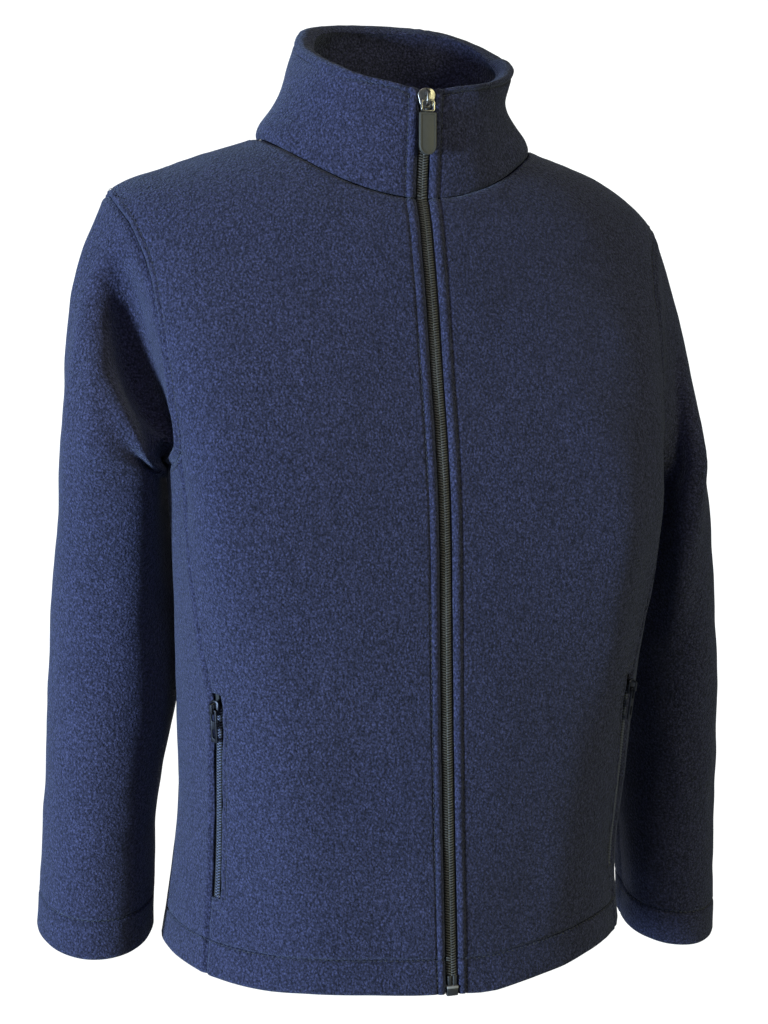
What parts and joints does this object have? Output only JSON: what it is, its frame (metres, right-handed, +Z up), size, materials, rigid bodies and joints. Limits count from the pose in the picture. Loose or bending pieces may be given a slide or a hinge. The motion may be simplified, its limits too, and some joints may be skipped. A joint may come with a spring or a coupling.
{
  "type": "fleece zip jacket",
  "caption": "Child's fleece jacket with a stand collar, full front zip and zipped side pockets, filled out as when worn.",
  "frame": {"origin": "base of the neck inside the jacket, midway between the shoulders, where the wearer's shoulders hold it", "axes": "+X towards the wearer's left, +Y towards the back, +Z up; the front zip faces -Y"},
  "size_m": [0.4953, 0.2314, 0.6531],
  "materials": {
    "fleece": "navy-blue microfleece with a short matt nap",
    "zip_tape": "black woven tape",
    "zip_coil": "black nylon coil",
    "metal": "satin nickel",
    "tab_rubber": "matt dark grey"
  },
  "bodies": {
    "jacket": {"back": "fleece", "collar": "fleece", "front_left": "fleece", "front_right": "fleece", "pocket_chain_left": "zip_coil", "pocket_chain_right": "zip_coil", "pocket_slider_left": "metal", "pocket_slider_right": "metal", "pocket_tape_front_left": "zip_tape", "pocket_tape_front_right": "zip_tape", "pocket_tape_side_left": "zip_tape", "pocket_tape_side_right": "zip_tape", "side_left": "fleece", "side_right": "fleece", "sleeve_left": "fleece", "sleeve_right": "fleece", "zip_box": "metal", "zip_chain": "zip_coil", "zip_slider": "metal", "zip_tape_left": "zip_tape", "zip_tape_right": "zip_tape"},
    "front_pull": {"front_pull_link": "metal", "front_pull_tab": "tab_rubber"},
    "pocket_pull_right": {"pocket_pull_right": "metal"},
    "pocket_pull_left": {"pocket_pull_left": "metal"}
  },
  "joints": [
    {"name": "front_pull", "type": "hinge", "parent": "jacket", "child": "front_pull", "pos_m": [0, -0.07036, 0.0177], "axis": [-1, 0, 0], "range_deg": [0, 150]},
    {"name": "pocket_pull_right", "type": "hinge", "parent": "jacket", "child": "pocket_pull_right", "pos_m": [-0.1401, -0.07255, -0.36049], "axis": [-0.5032, 0.862, 0.0617], "range_deg": [0, 150]},
    {"name": "pocket_pull_left", "type": "hinge", "parent": "jacket", "child": "pocket_pull_left", "pos_m": [0.14104, -0.08338, -0.36127], "axis": [-0.7206, -0.6932, -0.0166], "range_deg": [0, 150]}
  ]
}
